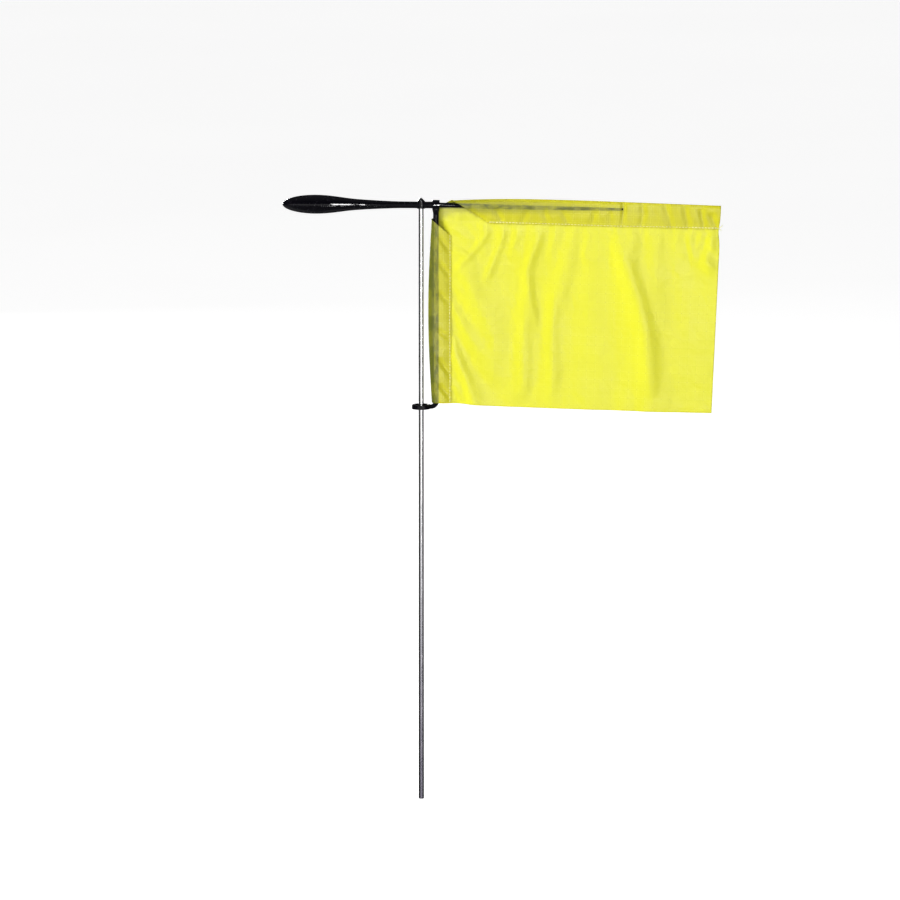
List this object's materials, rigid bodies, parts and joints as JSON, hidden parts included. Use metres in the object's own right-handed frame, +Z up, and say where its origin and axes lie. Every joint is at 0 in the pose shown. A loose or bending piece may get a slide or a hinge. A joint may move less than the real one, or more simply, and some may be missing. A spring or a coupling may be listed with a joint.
{
  "type": "wind indicator flag",
  "caption": "Rectangular wind-indicator flag on a counterbalanced arm with a teardrop bulb, swinging on the pointed end of an upright steel rod.",
  "frame": {"origin": "centre of the rod's foot", "axes": "+Z up the rod towards its point, +X towards the flag's fly, +Y square to the flag"},
  "size_m": [0.3249, 0.014, 0.4537],
  "materials": {
    "polished_rod": "polished stainless steel rod",
    "black_moulding": "glossy black moulded nylon",
    "ripstop_cloth": "bright yellow ripstop nylon",
    "sewing_thread": "pale yellow polyester sewing thread"
  },
  "bodies": {
    "pole": {"spindle_rod": "polished_rod"},
    "vane": {"balance_arm": "black_moulding", "luff_eye": "black_moulding", "luff_bar": "black_moulding", "guide_ring": "black_moulding", "flag_panel": "ripstop_cloth", "top_sleeve": "ripstop_cloth", "luff_sleeve": "ripstop_cloth", "top_seam_thread": "sewing_thread", "luff_seam_thread": "sewing_thread"}
  },
  "joints": [
    {"name": "vane_swing", "type": "hinge", "parent": "pole", "child": "vane", "pos_m": [0, 0, 0.446], "axis": [0, 0, 1], "continuous": true}
  ]
}
